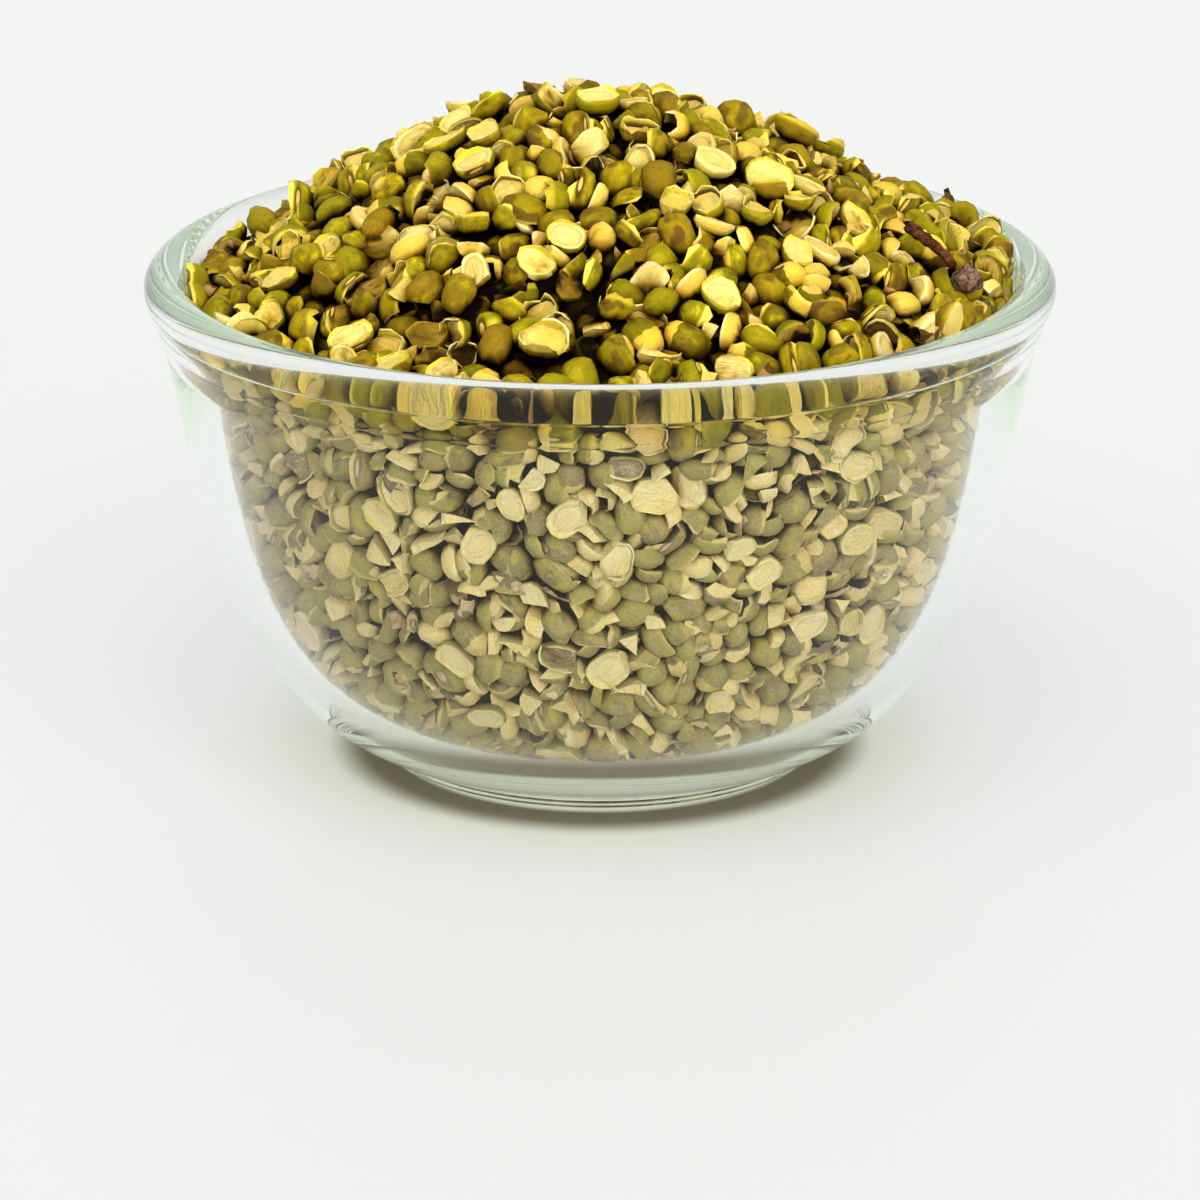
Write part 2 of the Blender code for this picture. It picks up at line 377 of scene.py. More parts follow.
litter = {
    "lumpPlace": (39.2 * mm, -17.2 * mm),
    "lumpRadius": 1.65 * mm,
    "lumpAbove": 0.0,
    "lumpSquash": 0.9,
    "lumpBumps": 46,
    "bumpHeights": (-0.2, 0.22),
    "bumpSharpness": 26,
    "stalkEnds": ((33.2 * mm, -12.0 * mm), (37.6 * mm, -16.5 * mm)),
    "stalkRadius": 0.75 * mm,
    "stalkAbove": 0.3 * mm,
    "stalkRings": 15,
    "stalkSides": 12,
    "stalkTaper": 0.3,
    "stalkRidges": 4,
    "ridgeHeight": 0.16,
}


def onTop(place, above):
    return np.array((*place, float(heapHeight(*place)) + above))


# How the lentils lie: each is a rigid cluster of balls, grown and pushed apart until none cross

settling = {
    "seed": 41,
    "tries": 100000,           # starting places, in a box of millimetres round the shell
    "box": ((-46, -46, 3), (46, 46, 79)),
    "margins": (0.9 * mm, 0.6 * mm),
    "crowd": 0.055,            # lentils in a cubic millimetre of the shell
    "sizeSpread": 0.09,
    "sizeEnds": (0.78, 1.2),
    "steps": 200,
    "startSize": 0.45,
    "grownBy": 0.5,            # these two are shares of the steps
    "pulledUntil": 0.85,
    "haste": 1.5,
    "mostTurn": 0.3,
    "stiffness": 0.3 * mm ** 2,
    "near": 2.45 * mm,         # balls further apart than this can't touch
    "slack": 0.45 * mm,
    "relist": 5,
    "cutOut": 0.24,            # share that starts with its cut face turned outwards
    "domeOut": 0.2,
    "sway": 0.8,
    "pull": 0.05 * mm,
    "outPull": 0.8,
    "layFlat": 0.3,            # how readily one that meets the glass lies flat on it
    "kinds": {"split": 0.27, "cupped": 0.25, "bare": 0.07, "whole": 0.05, "chip": 0.29, "flake": 0.07},
}

# half extents of one unit lentil of each kind, along its length, width and thickness
extents = {
    "split": (2.3 * mm, 1.75 * mm, 0.95 * mm),
    "cupped": (2.25 * mm, 1.72 * mm, 1.0 * mm),
    "bare": (2.15 * mm, 1.65 * mm, 0.86 * mm),
    "whole": (2.3 * mm, 1.8 * mm, 1.68 * mm),
    "chip": (1.6 * mm, 1.2 * mm, 0.85 * mm),
    "flake": (1.8 * mm, 1.1 * mm, 0.42 * mm),
}


def ballsFor(kind):
    # seven balls that fill a flat or round lentil of this kind
    a, b, c = extents[kind]
    r = min(c, 0.62 * b)
    ring = [(a - r, 0, 0), (r - a, 0, 0)]
    if kind == "whole":
        others = [(0, b - r, 0), (0, r - b, 0), (0, 0, c - r), (0, 0, r - c)]
    else:
        others = [(0.42 * (a - r) * i, 0.92 * (b - r) * j, 0) for i in (-1, 1) for j in (-1, 1)]
    centres = np.array([(0, 0, 0)] + ring + others)
    radii = np.full(7, 0.97 * r)
    if kind == "whole":
        radii[0] = 0.9 * b
    return centres, radii


def feelersFor(kind):
    # points on the lentil's own surface, which the glass may not pass
    a, b, c = extents[kind]
    angles = np.arange(8) * math.pi / 4
    rows = []
    for height, width in ((-1.0, 0.5 if kind == "whole" else 1.0), (0.1, 0.97), (0.8, 0.5)):
        ring = width * a * np.cos(angles), width * b * np.sin(angles), np.full(8, height * c)
        rows.append(np.stack(ring, 1))
    return np.concatenate(rows)


def nearPairs(points, reach):
    # pairs of points in the same or touching cells
    cells = np.floor(points / reach).astype(np.int64)
    cells -= cells.min(0) - 1
    span = cells.max(0) + 2
    key = (cells[:, 0] * span[1] + cells[:, 1]) * span[2] + cells[:, 2]
    order = np.argsort(key, kind="stable")
    keys = key[order]
    firsts, seconds = [], []
    around = [(i, j, k) for i in (-1, 0, 1) for j in (-1, 0, 1) for k in (-1, 0, 1)]
    for i, j, k in around[13:]:
        other = keys + (i * span[1] + j) * span[2] + k
        low = np.searchsorted(keys, other, "left")
        high = np.searchsorted(keys, other, "right")
        if (i, j, k) == (0, 0, 0):
            low = np.arange(len(keys)) + 1
        count = np.maximum(high - low, 0)
        first = np.repeat(np.arange(len(keys)), count)
        offset = np.arange(count.sum()) - np.repeat(np.cumsum(count) - count, count)
        firsts.append(order[first])
        seconds.append(order[np.repeat(low, count) + offset])
    return np.concatenate(firsts), np.concatenate(seconds)


def randomTurns(draw, count):
    spin = draw.normal(size=(count, 4))
    w, x, y, z = (spin / np.linalg.norm(spin, axis=1)[:, None]).T
    return np.stack([1 - 2 * (y * y + z * z), 2 * (x * y - w * z), 2 * (x * z + w * y),
                     2 * (x * y + w * z), 1 - 2 * (x * x + z * z), 2 * (y * z - w * x),
                     2 * (x * z - w * y), 2 * (y * z + w * x), 1 - 2 * (x * x + y * y)], 1).reshape(-1, 3, 3)


def aimedTurns(draw, places):
    # some with the cut face outwards, some with the dome, the rest any way
    turn = randomTurns(draw, len(places))
    inward = facesAt(places)[2] + draw.normal(0.0, settling["sway"], (len(places), 3))
    inward /= np.linalg.norm(inward, axis=1)[:, None]
    chance = draw.random(len(places))
    facing = np.where((chance < settling["cutOut"])[:, None], inward, -inward)
    across = np.cross(facing, turn[:, :, 0])
    across /= np.linalg.norm(across, axis=1)[:, None]
    aimed = np.stack([np.cross(across, facing), across, facing], 2)
    keep = chance > settling["cutOut"] + settling["domeOut"]
    return np.where(keep[:, None, None], turn, aimed)


def turnBy(turn, angle):
    # a small turn about the vector angle, kept square
    skew = np.zeros_like(turn)
    skew[:, 0, 1], skew[:, 0, 2], skew[:, 1, 2] = -angle[:, 2], angle[:, 1], -angle[:, 0]
    skew -= skew.transpose(0, 2, 1)
    turn = turn + skew @ turn + 0.5 * skew @ (skew @ turn)
    turn[:, :, 0] /= np.linalg.norm(turn[:, :, 0], axis=1)[:, None]
    turn[:, :, 1] -= turn[:, :, 0] * (turn[:, :, 0] * turn[:, :, 1]).sum(1)[:, None]
    turn[:, :, 1] /= np.linalg.norm(turn[:, :, 1], axis=1)[:, None]
    turn[:, :, 2] = np.cross(turn[:, :, 0], turn[:, :, 1])
    return turn


def gathered(values, owner, count):
    return np.stack([np.bincount(owner, values[:, i], count) for i in range(3)], 1)


def settleLentils():
    s = settling
    draw = np.random.default_rng(s["seed"])
    # starting places, spread through a shell under the glass and the top
    low, high = s["box"]
    tries = draw.uniform(low, high, (s["tries"], 3)) * mm
    depth = np.minimum(wallAt(tries)[0], topAt(tries)[0])
    shell = tries[(depth > s["margins"][0]) & (depth < heap["layer"] - s["margins"][1])]
    count = int(math.prod((len(shell) / len(tries), *np.subtract(high, low), s["crowd"])))
    places = shell[:count].copy()
    kinds = list(s["kinds"])
    kind = draw.choice(len(kinds), count, p=list(s["kinds"].values()))
    size = np.clip(draw.normal(1.0, s["sizeSpread"], count), *s["sizeEnds"])
    balls = [ballsFor(k) for k in kinds]
    offsets = np.array([b[0] for b in balls])[kind] * size[:, None, None]
    radii = np.array([b[1] for b in balls])[kind] * size[:, None]
    feelers = np.array([feelersFor(k) for k in kinds])[kind] * size[:, None, None]
    turn = aimedTurns(draw, places)
    owner = np.repeat(np.arange(count), 7)
    feelerOwner = np.repeat(np.arange(count), feelers.shape[1])
    lumpMiddle = onTop(litter["lumpPlace"], litter["lumpAbove"])
    stalkMiddle = np.mean([onTop(end, litter["stalkAbove"]) for end in litter["stalkEnds"]], axis=0)
    kept = ((lumpMiddle, litter["lumpRadius"]), (stalkMiddle, 2.2 * litter["stalkRadius"]))
    for step in range(s["steps"]):
        grown = min(1.0, s["startSize"] + (1 - s["startSize"]) * step / (s["grownBy"] * s["steps"]))
        arms = np.einsum("nij,nkj->nki", turn, offsets * grown)
        points = (places[:, None] + arms).reshape(-1, 3)
        reach = (radii * grown).reshape(-1)
        if step % s["relist"] == 0:
            first, second = nearPairs(points, s["near"])
            gap = np.linalg.norm(points[first] - points[second], axis=1)
            near = (gap < reach[first] + reach[second] + s["slack"]) & (owner[first] != owner[second])
            first, second = first[near], second[near]
        between = points[first] - points[second]
        gap = np.linalg.norm(between, axis=1) + 1e-9
        over = reach[first] + reach[second] - gap
        hit = over > 0
        push = between[hit] * (0.5 * over[hit] / gap[hit])[:, None]
        a, b = first[hit], second[hit]
        moved = gathered(push, a, len(points)) - gathered(push, b, len(points))
        touches = sum(np.bincount(ends, minlength=len(points)) for ends in (a, b)).astype(float)
        # the core holds them out, and the lump of earth and the stalk keep their places
        wall, top, inward = facesAt(points)
        deep = np.maximum(np.minimum(top, wall) + reach * 0.6 - heap["layer"], 0.0)
        moved -= inward * deep[:, None]
        touches += deep > 0
        for middle, radius in kept:
            fromMiddle = points - middle
            apart = np.linalg.norm(fromMiddle, axis=1)
            close = np.maximum(reach + radius - apart, 0.0)
            moved += fromMiddle * (close / apart)[:, None]
            touches += close > 0
        arm = arms.reshape(-1, 3)
        total = gathered(moved, owner, count)
        twist = gathered(np.cross(arm, moved), owner, count)
        weight = np.bincount(owner, touches, count)
        lever = np.bincount(owner, touches * (arm ** 2).sum(1), count)
        # the glass meets their real surface, so flat sides turn a little towards it
        feel = np.einsum("nij,nkj->nki", turn, feelers * grown).reshape(-1, 3)
        wall, fromWall = wallAt(places[feelerOwner] + feel)
        short = np.maximum(heap["dryGap"] - wall, 0.0)
        pressed = fromWall * short[:, None]
        total += gathered(pressed, feelerOwner, count)
        twist += s["layFlat"] * gathered(np.cross(feel, pressed), feelerOwner, count)
        weight += np.bincount(feelerOwner, short > 0, count)
        lever += np.bincount(feelerOwner, (short > 0) * (feel ** 2).sum(1), count)
        busy = np.maximum(weight, 1.0)
        places += s["haste"] * total / busy[:, None]
        angle = s["haste"] * twist / (lever + s["stiffness"] * busy)[:, None]
        angle *= np.minimum(1.0, s["mostTurn"] / (np.linalg.norm(angle, axis=1) + 1e-9))[:, None]
        turn = turnBy(turn, angle)
        if step < s["pulledUntil"] * s["steps"]:
            # down onto the core at the top, out against the glass below
            wall, top, inward = facesAt(places)
            places += np.where((top < wall)[:, None], inward, -s["outPull"] * inward) * s["pull"]
    report(f"{count} lentils settled, mean crossing {over[hit].mean() / mm:.3f} mm")
    return places, turn, size, np.array(kinds)[kind]


# How crowded it is round every point, which gives the shade between the lentils

crowding = {
    "cell": 0.6 * mm,
    "cells": (180, 180, 140),
    "corner": (-54 * mm, -54 * mm, 0.0),
    "reach": (0.9 * mm, 1.8 * mm, 2.8 * mm),
    "outlook": (-0.3, -0.8, 0.9),         # light comes from above and from the front
    "wallFade": (0.8 * mm, 1.7 * mm),     # what lies behind the first lentils falls into shadow
    "topFade": (2.1 * mm, 1.3 * mm),
    "wallDim": 0.75,
    "topDim": 1.6,
}


def crowdGrid(places, turn, size, kinds):
    cell, low = crowding["cell"], np.array(crowding["corner"])
    grid = np.zeros(crowding["cells"], np.float32)
    for kind in settling["kinds"]:
        mine = kinds == kind
        centres, radii = ballsFor(kind)
        arms = np.einsum("nij,kj->nki", turn[mine], centres) * size[mine][:, None, None]
        points = (places[mine][:, None] + arms).reshape(-1, 3)
        reach = np.repeat(size[mine], 7) * np.tile(radii, mine.sum())
        base = np.round((points - low) / cell).astype(int)
        for shift in np.ndindex(5, 5, 5):
            spot = base + shift - 2
            inside = np.linalg.norm(spot * cell + low - points, axis=1) < reach
            grid[tuple(spot[inside].T)] = 1.0
    for axis in range(3):
        grid = (np.roll(grid, 1, axis) + 2 * grid + np.roll(grid, -1, axis)) / 4
    return grid


def shadeAt(points):
    # 1 in the open, falling towards 0 where other lentils stand round and over a point
    wall, top, inward = facesAt(points)
    aim = np.array(crowding["outlook"]) * 0.6 - inward
    aim /= np.linalg.norm(aim, axis=1)[:, None]
    total = np.zeros(len(points))
    for direction in (-inward, aim):
        for reach in crowding["reach"]:
            spot = (points + direction * reach - crowding["corner"]) / crowding["cell"]
            spot = np.clip(np.round(spot).astype(int), 0, np.array(crowd.shape) - 1)
            total += crowd[tuple(spot.T)]
    behindTop, behindWall = ((depth - crowding[fade][0]) / crowding[fade][1]
                             for depth, fade in ((top, "topFade"), (wall, "wallFade")))
    behind = np.where(top < wall, behindTop, behindWall)
    dim = np.where(top < wall, crowding["topDim"], crowding["wallDim"])
    return np.exp(-dim * total - np.maximum(behind, 0.0))


# The forms: a few seeded shapes of each kind

shapes = {
    "segments": 14,
    "variants": {"split": 14, "cupped": 16, "bare": 8, "whole": 6, "chip": 22, "flake": 8},
    "lip": 0.42 * mm,          # how far the torn edge of a skin stands over the flesh
    "cupLip": 1.15 * mm,       # and where much of the flesh has gone
    "sharpAngle": 42.0,
    "stretch": ((0.9, 0.9, 0.86), (1.09, 1.07, 1.08)),
}


class Oval:
    # rings of one lentil, which share its outline
    def __init__(self, form, a, b, draw):
        self.form, self.a, self.b, self.draw = form, a, b, draw
        self.local = form.verts.layers.float_vector.new("local")
        self.power = 2.0 / draw.uniform(2.1, 3.1)
        self.egg = draw.uniform(-0.13, 0.13)
        self.bend = draw.uniform(-0.09, 0.09)
        self.swell = [draw.uniform(-0.045, 0.045) for i in range(shapes["segments"])]

    def vert(self, x, y, z, c):
        made = self.form.verts.new((x, y, z))
        made[self.local] = (x / self.a, y / self.b, z / c)
        return made

    def ring(self, width, height, c, wobble=0.01):
        verts = []
        for i in range(shapes["segments"]):
            t = 2 * math.pi * i / shapes["segments"]
            grow = width * (1 + self.swell[i] + wobble * self.draw.uniform(-1, 1))
            x = grow * math.copysign(abs(math.cos(t)) ** self.power, math.cos(t))
            y = grow * math.copysign(abs(math.sin(t)) ** self.power, math.sin(t))
            y = y * (1 + self.egg * x) + self.bend * x * x
            z = height[i] if hasattr(height, "__len__") else height
            verts.append(self.vert(self.a * x, self.b * y, z, c))
        return verts


def bridge(form, lower, upper, part, value):
    n = len(lower)
    for i in range(n):
        form.faces.new((lower[i], lower[(i + 1) % n], upper[(i + 1) % n], upper[i]))[part] = value


def cone(form, ring, tip, part, value):
    n = len(ring)
    for i in range(n):
        form.faces.new((ring[i], ring[(i + 1) % n], tip))[part] = value


def breakOff(form, part, place, across):
    # cut everything past a plane and close the break with flesh
    geometry = form.verts[:] + form.edges[:] + form.faces[:]
    cut = bmesh.ops.bisect_plane(form, geom=geometry, plane_co=place, plane_no=across, clear_outer=True)
    rim = [e for e in cut["geom_cut"] if isinstance(e, bmesh.types.BMEdge)]
    filled = bmesh.ops.triangle_fill(form, edges=rim, use_beauty=True)
    for item in filled["geom"]:
        if isinstance(item, bmesh.types.BMFace):
            item[part] = 0.0


def halfForm(kind, draw):
    a, b, c = extents["split" if kind == "chip" else kind]
    form = bmesh.new()
    part = form.faces.layers.float.new("part")
    oval = Oval(form, a, b, draw)
    n = shapes["segments"]
    cupped = kind == "cupped"
    coated = cupped or kind == "split" or (kind == "chip" and draw.random() < 0.75)
    skin = 1.0 if coated else 0.0
    rimPart = 0.5 if coated else 0.0
    # the skin's torn edge, with a stretch of it missing
    gapAt, gapWide = draw.randrange(n), draw.choice((0, 0, 1, 2, 3))
    torn = [(i - gapAt) % n < gapWide for i in range(n)]
    high = draw.uniform(0.45, 1.0) * shapes["cupLip"] if cupped else shapes["lip"] * skin
    leastLift = 0.1 if cupped else -0.35
    lip = [-c - high * (-0.7 if torn[i] else draw.uniform(leastLift, 1.0)) for i in range(n)]
    sunk = draw.uniform(*((0.25, 1.0) if cupped else (0.0, 0.4))) * c * skin
    tiltX, tiltY = draw.uniform(-0.14, 0.14) * c, draw.uniform(-0.14, 0.14) * c
    angles = [2 * math.pi * i / n for i in range(n)]
    plate = [-c + sunk + tiltX * math.cos(t) + tiltY * math.sin(t) + draw.uniform(-0.07, 0.07) * c
             for t in angles]
    dish = draw.uniform(-0.1, 0.24) * c
    empty = cupped and draw.random() < 0.3
    fleshPart = 0.5 if empty else 0.0
    lipRing = oval.ring(0.98, lip, c, 0.05 if cupped else 0.025)
    side = oval.ring(1.0, -0.45 * c, c)
    upper = oval.ring(draw.uniform(0.76, 0.84), draw.uniform(0.36, 0.46) * c, c, 0.02)
    crown = oval.ring(0.43, 0.86 * c, c, 0.03)
    edge = oval.ring(0.84 if cupped else 0.88 if coated else 0.93, plate, c, 0.02)
    face = oval.ring(0.5, [z + dish for z in plate], c, 0.08)
    bridge(form, lipRing, side, part, skin)
    bridge(form, side, upper, part, skin)
    bridge(form, upper, crown, part, skin)
    cone(form, crown, oval.vert(draw.uniform(-0.1, 0.1) * a, draw.uniform(-0.1, 0.1) * b, c, c), part, skin)
    if cupped:
        lipInner = oval.ring(0.91, [z + 0.05 * mm for z in lip], c, 0.03)
        bridge(form, lipInner, lipRing, part, 0.0)
        bridge(form, edge, lipInner, part, rimPart)
    else:
        bridge(form, edge, lipRing, part, rimPart)
    bridge(form, face, edge, part, fleshPart)
    middle = oval.vert(draw.uniform(-0.2, 0.2) * a, draw.uniform(-0.2, 0.2) * b, -c + sunk + 1.1 * dish, c)
    cone(form, face[::-1], middle, part, fleshPart)
    if kind == "chip":
        for heading in draw.choice(((0.0,), (0.0, 1.9), (0.0, 2.6), (0.0, 3.1), (0.0, 1.6, 3.3))):
            heading += draw.uniform(-0.6, 0.6)
            across = Vector((math.cos(heading), math.sin(heading), draw.uniform(-0.6, 0.5)))
            breakOff(form, part, across * draw.uniform(0.05, 0.4) * b, across)
        fitChip(form)
    elif draw.random() < 0.45:
        heading = draw.choice((0.0, math.pi)) + draw.uniform(-0.9, 0.9)
        across = Vector((math.cos(heading), math.sin(heading), draw.uniform(-0.7, 0.4)))
        breakOff(form, part, across * draw.uniform(0.5, 0.76) * a, across)
    return form


def fitChip(form):
    # centre what is left, lay its longer side along X and bring it to the chips' size
    bmesh.ops.delete(form, geom=[v for v in form.verts if not v.link_faces], context="VERTS")
    points = np.array([v.co for v in form.verts])
    low, high = points.min(0), points.max(0)
    half = (high - low) / 2
    a, b, c = extents["chip"]
    grow = math.sqrt(a * b / (half[0] * half[1]))
    turn = Matrix.Rotation(math.pi / 2 if half[1] > half[0] else 0.0, 3, "Z")
    for vert in form.verts:
        vert.co = turn @ (vert.co - Vector((low + high) / 2)) * min(grow, 1.35)


def wholeForm(kind, draw):
    a, b, c = extents["whole"]
    form = bmesh.new()
    part = form.faces.layers.float.new("part")
    oval = Oval(form, a, b, draw)
    rings = [oval.ring(width, height * c, c) for height, width in
             ((-0.86, 0.48), (-0.46, 0.86), (0.0, 1.0), (0.46, 0.86), (0.86, 0.48))]
    for lower, upper in zip(rings[:-1], rings[1:]):
        bridge(form, lower, upper, part, 1.0)
    cone(form, rings[-1], oval.vert(0, 0, c, c), part, 1.0)
    cone(form, rings[0][::-1], oval.vert(0, 0, -c, c), part, 1.0)
    return form


def flakeForm(kind, draw):
    # a curled scrap of husk with a ragged edge
    a, b, c = extents["flake"]
    form = bmesh.new()
    part = form.faces.layers.float.new("part")
    local = form.verts.layers.float_vector.new("local")
    columns, rows = 6, 4
    curl, droop = draw.uniform(0.6, 1.35), draw.uniform(0.05, 0.3)
    grid = []
    for j in range(rows):
        line = []
        for i in range(columns):
            u, v = 2 * i / (columns - 1) - 1, 2 * j / (rows - 1) - 1
            border = abs(u) == 1 or abs(v) == 1
            torn = 1 + (draw.uniform(-0.4, 0.15) if border else 0.0)
            bend = curl * v * torn
            x = a * u * torn
            y = b * (1 - 0.3 * u * u) * math.sin(bend) / math.sin(curl)
            z = b * (math.cos(bend) - math.cos(curl)) / math.sin(curl) - droop * a * u * u - 0.5 * c
            vert = form.verts.new((x, y, z))
            vert[local] = (x / a, y / b, z / c)
            line.append(vert)
        grid.append(line)
    for j in range(rows - 1):
        for i in range(columns - 1):
            form.faces.new((grid[j][i], grid[j][i + 1], grid[j + 1][i + 1], grid[j + 1][i]))[part] = 1.0
    front = form.faces[:]
    bmesh.ops.solidify(form, geom=front, thickness=0.12 * mm)
    for face in form.faces:
        face.normal_update()
        face[part] = 1.0 if face.normal.z > 0 else 0.5
    return form


formMakers = {"split": halfForm, "cupped": halfForm, "bare": halfForm, "chip": halfForm,
              "whole": wholeForm, "flake": flakeForm}


def variantSet(kind):
    # a collection of this kind's shapes, to be picked from
    draw = random.Random(f"{kind}-7")
    collection = bpy.data.collections.new(kind + "Variants")
    for i in range(shapes["variants"][kind]):
        form = formMakers[kind](kind, draw)
        bmesh.ops.recalc_face_normals(form, faces=form.faces)
        mesh = meshFrom(f"{kind}{i:02d}", form)
        mesh.shade_smooth()
        mesh.set_sharp_from_angle(angle=math.radians(shapes["sharpAngle"]))
        collection.objects.link(bpy.data.objects.new(mesh.name, mesh))
    return collection


# Geometry Nodes: a shape on every point, turned and stretched as the point says, then dented

def strewTree(name):
    tree = bpy.data.node_groups.new(name, "GeometryNodeTree")
    sockets = {}
    for label, kind, value in (
            ("Points", "Geometry", None), ("Shapes", "Collection", None), ("Size", "Float", 1.0),
            ("Dent Depth", "Float", 0.0003), ("Dent Scale", "Float", 760.0), ("Finish", "Material", None)):
        socket = tree.interface.new_socket(label, in_out="INPUT", socket_type="NodeSocket" + kind)
        if value is not None:
            socket.default_value = value
        sockets[label] = socket.identifier
    tree.interface.new_socket("Lentils", in_out="OUTPUT", socket_type="NodeSocketGeometry")
    nodes = Nodes(tree)
    add = nodes.node
    given = add("NodeGroupInput").outputs

    def named(attribute, kind):
        node = add("GeometryNodeInputNamedAttribute", {"data_type": kind}, {"Name": attribute})
        return node.outputs["Attribute"]

    pick = add("GeometryNodeCollectionInfo", {"transform_space": "ORIGINAL"},
               {"Collection": given["Shapes"], "Separate Children": True, "Reset Children": True})
    stretch = add("ShaderNodeVectorMath", {"operation": "SCALE"},
                  {0: named("stretch", "FLOAT_VECTOR"), "Scale": given["Size"]})
    strewn = add("GeometryNodeInstanceOnPoints", None, {
        "Points": given["Points"], "Instance": pick.outputs["Instances"], "Pick Instance": True,
        "Instance Index": named("variant", "INT"), "Rotation": named("turn", "QUATERNION"),
        "Scale": stretch.outputs[0]})
    real = add("GeometryNodeRealizeInstances", None, {"Geometry": strewn.outputs["Instances"]})
    rough = nodes.noise(add("GeometryNodeInputPosition").outputs[0], given["Dent Scale"], 1.0)
    dent = add("ShaderNodeVectorMath", {"operation": "SCALE"},
               {0: add("GeometryNodeInputNormal").outputs[0], "Scale": (rough - 0.5) * given["Dent Depth"]})
    dented = add("GeometryNodeSetPosition", None, {"Geometry": real.outputs[0], "Offset": dent.outputs[0]})
    done = add("GeometryNodeSetMaterial", None, {"Geometry": dented.outputs[0], "Material": given["Finish"]})
    add("NodeGroupOutput", None, {"Lentils": done.outputs[0]})
    return tree, sockets


strew, strewSockets = strewTree("strewLentils")


def keepOffGlass(mesh):
    # flatten the last little that dents and odd shapes push into the glass
    flat = np.empty(len(mesh.vertices) * 3, np.float32)
    mesh.vertices.foreach_get("co", flat)
    points = flat.reshape(-1, 3).astype(float)
    for again in range(2):
        wall, fromWall = wallAt(points)
        points += fromWall * np.maximum(heap["dryGap"] - wall, 0.0)[:, None]
    mesh.vertices.foreach_set("co", points.astype(np.float32).ravel())
    mesh.update()
    # flour rubbed off the lentils clings to those that lie lower, against the glass, and is also painted
    # light that makes them paler there
    flour = np.clip((heap["flourLightTop"] - points[:, 2]) / heap["flourLightFade"], 0, 1)
    flour *= np.clip(2.0 - wallAt(points)[0] / heap["flourLightDepth"], 0, 1)
    for label, values in (("shade", shadeAt(points)), ("flour", flour)):
        mesh.attributes.new(label, "FLOAT", "POINT").data.foreach_set("value", values.astype(np.float32))


def asFilling(piece):
    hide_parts("lentil_heap")
    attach(piece, "root")


def strewPiece(name, kind, places, turns, sizes, finish, seed):
    draw = np.random.default_rng(seed)
    count = len(places)
    mesh = bpy.data.meshes.new(name)
    mesh.vertices.add(count)
    mesh.vertices.foreach_set("co", places.astype(np.float32).ravel())
    turnValues = np.array([Matrix(t.tolist()).to_quaternion() for t in turns], np.float32)
    stretch = sizes[:, None] * draw.uniform(*shapes["stretch"], (count, 3))
    for label, form, values in (
            ("turn", "QUATERNION", turnValues), ("stretch", "FLOAT_VECTOR", stretch.astype(np.float32)),
            ("variant", "INT", draw.integers(0, shapes["variants"][kind], count).astype(np.int32)),
            ("grain", "FLOAT", draw.random(count).astype(np.float32))):
        data = mesh.attributes.new(label, form, "POINT").data
        data.foreach_set("vector" if form == "FLOAT_VECTOR" else "value", values.ravel())
    points = linked(name, mesh)
    shapeSet = variantSet(kind)
    nodes = points.modifiers.new("strew", "NODES")
    nodes.node_group = strew
    nodes[strewSockets["Shapes"]] = shapeSet
    nodes[strewSockets["Finish"]] = finish
    made = applied(points)
    for label in ("turn", "stretch", "variant"):
        if label in made.attributes:
            made.attributes.remove(made.attributes[label])
    for shape in list(shapeSet.objects):
        bpy.data.objects.remove(shape)
    bpy.data.collections.remove(shapeSet)
    keepOffGlass(made)
    asFilling(points)
    report(f"{name}: {count} of them, {sum(len(p.vertices) - 2 for p in made.polygons)} triangles")


# Finishes

skins = {
    "green": (0.28, 0.25, 0.012),
    "olive": (0.34, 0.262, 0.015),
    "brown": (0.25, 0.16, 0.022),
    "deep": (0.092, 0.076, 0.007),
    "lime": (0.64, 0.56, 0.045),
    "paintedShadeTint": (0.40, 0.295, 0.06),
    "richAndDimmed": (0.95, 0.92, 0.45),
    "paintedGapShade": (0.004, 0.0015, 0.001),
    "scar": (0.66, 0.47, 0.30),
    "scarEdge": (0.06, 0.025, 0.018),
    "huskDark": (0.10, 0.048, 0.026),
    "huskInside": (0.40, 0.24, 0.14),
}
flesh = {
    "pale": (0.86, 0.71, 0.33),
    "chalk": (0.93, 0.84, 0.58),
    "yellow": (0.80, 0.56, 0.08),
    "warm": (0.74, 0.43, 0.09),
    "greenish": (0.58, 0.52, 0.09),
    "line": (0.44, 0.29, 0.07),
    "flour": (0.94, 0.83, 0.52),
    "richAndDimmed": (0.76, 0.755, 0.64),
}
white = (1.0, 1.0, 1.0)


